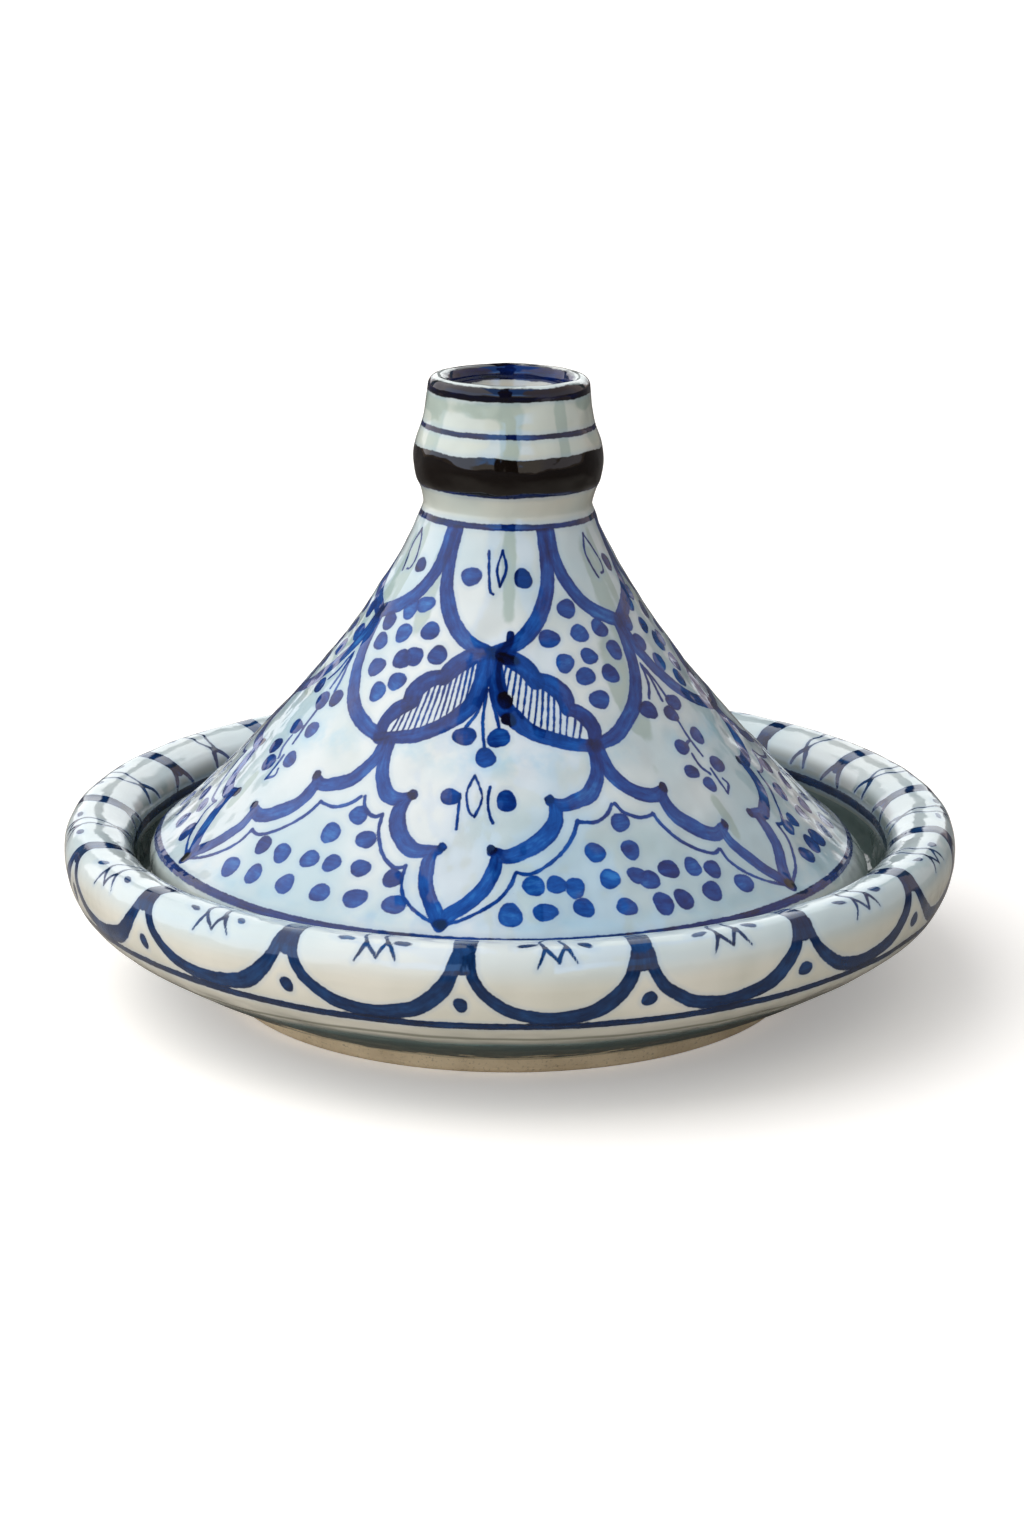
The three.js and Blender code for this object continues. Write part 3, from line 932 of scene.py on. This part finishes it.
def make_dish(materials):
    """The foot, the wall, the painted rim, and the bowl with the gallery that the lid stands in."""
    wide_r, wide_z = RIM_WIDE
    crest_r, crest_z = RIM_CREST
    rim_outside = arc(crest_r, wide_z, wide_r - crest_r, crest_z - wide_z, 0, 90)
    rim_inside = arc(crest_r, RIM_INNER_Z, crest_r - RIM_INNER_R, crest_z - RIM_INNER_Z, 90, 180)
    inner_edge = [(RIM_INNER_R, RIM_INNER_Z), GALLERY[0]]
    outside = outline(0.56, curve_through(DISH_WALL), rim_outside, rim_inside, inner_edge)
    wall, rim, rim_places = split(outside, WALL_CUT)
    wall = np.vstack([[FOOT_RING[-1]], wall])
    foot = outline(1.0, UNDERSIDE, *zip(FOOT_RING, FOOT_RING[1:]))
    bowl = outline(1.2, curve_through(GALLERY), [GALLERY[-1], BOWL[0]], curve_through(BOWL), BOWL_FLOOR)
    pieces = [
        (turned("dish_foot", foot, 360, roughness=0), materials["clay"]),
        (turned("dish_wall", wall, 720, dish_form, 0.55), materials["dish"]),
        (turned("dish_rim", rim, 1440, dish_form, 0.55, paint_rim, rim_places), materials["dish"]),
        (turned("dish_bowl", bowl, 720, bowl_form, 0.6), materials["bowl"]),
    ]
    for piece, material in pieces:
        dress(piece, material, "dish", "base_dish")


def make_lid(materials):
    """The painted cone, the neck with the knob and its cup, and the hollow inside with its flange."""
    cone = outline(0.52, curve_through(CONE))
    lip = arc(LIP_CENTRE_R, LIP_Z, LIP_CENTRE_R - LIP_BORE_R, LIP_TOP_Z - LIP_Z, 0, 180)
    knob = outline(0.4, curve_through(NECK_AND_KNOB), lip, [lip[-1], KNOB_CUP[0]],
                   curve_through(KNOB_CUP[:-1]), KNOB_CUP[-2:])
    inside_cone = inward(curve_through(CONE), LID_WALL)[::-1]
    inside_z = inside_cone[:, 1]
    inside_cone = inside_cone[(inside_z < HOLLOW_ROOF_Z) & (inside_z > HOLLOW_FOOT_Z)]
    roof = arc(0, HOLLOW_ROOF_Z, inside_cone[0][0], HOLLOW_ROOF_RISE, 90, 0)
    inside = outline(1.2, roof, inside_cone, [inside_cone[-1], FLANGE_INSIDE[0]],
                     curve_through(FLANGE_INSIDE), [FLANGE_INSIDE[-1], FLANGE_OUTSIDE[0]],
                     curve_through(FLANGE_OUTSIDE))
    pieces = [
        (turned("lid_cone", cone, 1440, lid_form, 1.0, paint_cone), materials["lid"]),
        (turned("lid_knob", knob, 480, lid_form, 0.8, paint_knob, knob_places(knob)), materials["lid"]),
        (turned("lid_inside", inside, 720, lid_form, 0.6, paint_skirt), materials["inside"]),
    ]
    for piece, material in pieces:
        dress(piece, material, "lid", "lid")


def knob_places(profile):
    """Heights up the knob's outside, then on past the top for the cup inside it."""
    places = profile[:, 1].copy()
    top = int(np.argmax(places))
    places[top:] = 2 * places[top] - places[top:]
    return places


def dress(piece, material, body, node):
    """Gives a piece its material and the body that it moves with, and hides the CAD node that it stands
    for.
    """
    piece.data.materials.append(material)
    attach(piece, body)
    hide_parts(node)


# ---- studio

FLOOR_REACH = 40                  # metres from the pot to the floor's sides
FLOOR_BOUNCE = (0.68, 0.64, 0.58)
FLOOR_SEEN = (0.99, 0.965, 0.94), (1.0, 0.98, 0.955)
# near the pot, and away from it
FLOOR_MIRRORED = (0.26, 0.24, 0.21), (0.05, 0.042, 0.034)
FLOOR_GLOW = (0.26, 0.252, 0.245), (0.60, 0.58, 0.56)

SOFT_LEFT = (0.93, 0.935, 0.94)   # what lights the pot from all round, brighter on its left and in front
SOFT_RIGHT = (0.23, 0.235, 0.24)
SOFT_SEEN = (0.85, 0.85, 0.85)    # the studio's wall as the camera sees it
SKY = (0.20, 0.56, 1.50)          # blue overhead
FRONT_LOW = (0.8, 1.6, 3.2)       # brighter and low down in front
LEFT_LOW = (1.25, 1.4, 1.75)      # and at the left
RIGHT_LOW = (0.62, 0.58, 0.62)    # dim and warm at the right
HORIZON = (0.8, 0.72, 0.62)       # warm and dim just above the table's edge
TABLE_EDGE = (0.26, 0.21, 0.17)   # darker still, where the table ends
LEFT_BOX = (1.3, 1.24, 1.27)
RIGHT_BOX = (0.60, 0.50, 0.46)
BACK_BOX = (1.6, 1.65, 1.65)
BACK_DARK = (0.10, 0.13, 0.115)   # a dark stretch at either side of the box behind
GAP = (0.01, 0.01, 0.01)

LAMPS = [   # name, place, what it points at, size in metres, power in watts, colour
    ("overhead", (-1.2, -0.1, 1.8), (0, 0, 0), 2.6, 36, (1.0, 0.985, 0.96)),
    ("fill", (-0.9, -1.9, 0.9), (0, 0, 0.05), 1.4, 9, (1.0, 0.98, 0.95)),
]

CAMERA_PLACE = (0.0007, -1.050, 0.3731)
CAMERA_DIP = 15.993     # degrees below level
SENSOR = 36             # millimetres, along the picture's longer side
LENS = 75.78


def make_floor():
    """A wide pale table top, which looks paler than the light that it throws back."""
    mesh = bpy.data.meshes.new("floor")
    corners = [(-1, -1), (1, -1), (1, 1), (-1, 1)]
    mesh.from_pydata([(FLOOR_REACH * x, FLOOR_REACH * y, 0) for x, y in corners], [], [(0, 1, 2, 3)])
    floor = new_object("floor", mesh)
    n = Nodes(bpy.data.materials.new("floor"))
    path = n.add("ShaderNodeLightPath").outputs
    away = n.length(n.coords)
    mirrored = n.mix(n.span(away, 0.22, 0.50), *FLOOR_MIRRORED)
    bounce = n.mix(path["Is Glossy Ray"], FLOOR_BOUNCE, mirrored)
    seen = n.mix(n.noise(3, 3, 0.5), *FLOOR_SEEN)
    colour = n.mix(path["Is Camera Ray"], bounce, seen)
    glow = n.mix(n.span(away, 0.4, 2.5), *FLOOR_GLOW)
    glow = n.mix(path["Is Camera Ray"], (0, 0, 0), glow)
    mesh.materials.append(n.finish(colour, 0.9, glow=glow))


def make_studio():
    """Soft light from all round. Its coloured boxes and gap show only as reflections in the glaze.

    x, y and z are the way looked in: z is 0 at the horizon and y is below 0 in front.
    """
    world = bpy.data.worlds.new("studio")
    bpy.context.scene.world = world
    n = Nodes(world, "Generated")
    x, y, z = n.parts(n.coords)
    aside = n.math("ABSOLUTE", x)
    above = n.span(z, 0.045, 0.055)

    # low lights: in front, at the left and at the right, with the horizon below the front one
    side_low = n.mix(n.span(x, -0.1, 0.1), LEFT_LOW, RIGHT_LOW)
    front_low = n.mix(n.span(aside, 0.30, 0.65), FRONT_LOW, side_low)
    horizon = n.mix(n.span(aside, 0.50, 0.75), HORIZON, side_low)
    low_light = n.mix(n.span(z, 0.20, 0.25), horizon, front_low)
    low = n.times(n.times(above, n.span(z, 0.50, 0.44)), n.span(y, 0.40, 0.25))

    # boxes behind, at the left and at the right, with the sky between them
    colour = SKY
    for box, side in ((BACK_BOX, n.span(y, 0.22, 0.30)), (LEFT_BOX, n.span(x, -0.30, -0.36)),
                      (RIGHT_BOX, n.span(x, 0.38, 0.46))):
        colour = n.mix(n.times(side, above), colour, box)
    dark = n.times(n.span(y, 0.69, 0.72), n.span(y, 0.86, 0.83))
    colour = n.mix(n.times(dark, n.span(aside, 0.26, 0.34)), colour, BACK_DARK)
    colour = n.mix(low, colour, low_light)
    colour = n.mix(above, TABLE_EDGE, colour)

    # the dark gap between the boxes at either side, wider towards the front
    half_gap = n.span(y, -0.05, -0.65, 0.045, 0.17)
    gap = n.span(n.math("SUBTRACT", aside, half_gap), 0.012, -0.012)
    colour = n.mix(gap, colour, GAP)

    path = n.add("ShaderNodeLightPath").outputs
    # the soft light, from the left and front to the right and back
    across = n.math("MULTIPLY_ADD", y, 0.5, x)
    soft = n.mix(n.span(across, -1.1, 1.1, smooth=False), SOFT_LEFT, SOFT_RIGHT)
    soft = n.mix(path["Is Camera Ray"], soft, SOFT_SEEN)
    light = n.mix(path["Is Glossy Ray"], soft, colour)
    background = n.add("ShaderNodeBackground", {"Color": light})
    n.add("ShaderNodeOutputWorld", {"Surface": background.outputs[0]})


def make_lamp(name, place, aim, size, power, colour):
    """A large soft lamp that lights the pot without showing as a reflection in its glaze."""
    data = bpy.data.lights.new(name, "AREA")
    data.size = size
    data.energy = power
    data.color = colour
    lamp = new_object(name, data)
    lamp.location = place
    lamp.rotation_euler = (Vector(aim) - Vector(place)).to_track_quat("-Z", "Y").to_euler()
    lamp.visible_glossy = False


def make_camera():
    """Looks at the pot from the front and a little above."""
    data = bpy.data.cameras.new("camera")
    data.lens = LENS
    data.sensor_width = SENSOR
    camera = new_object("camera", data)
    camera.location = CAMERA_PLACE
    camera.rotation_euler = (math.radians(90 - CAMERA_DIP), 0, 0)
    bpy.context.scene.camera = camera


make_camera()
make_floor()
make_studio()
for lamp in LAMPS:
    make_lamp(*lamp)
bpy.context.scene.view_settings.view_transform = "Standard"

materials = {
    "lid": painted_glaze("lid_painted_glaze", lid_glaze_colour),
    "dish": painted_glaze("dish_painted_glaze", dish_glaze_colour, DISH_COBALT, 1.1),
    "bowl": painted_glaze("bowl_glaze", bowl_glaze_colour),
    "inside": painted_glaze("plain_glaze", inside_glaze_colour),
    "clay": bare_clay("bare_clay"),
}
make_dish(materials)
make_lid(materials)
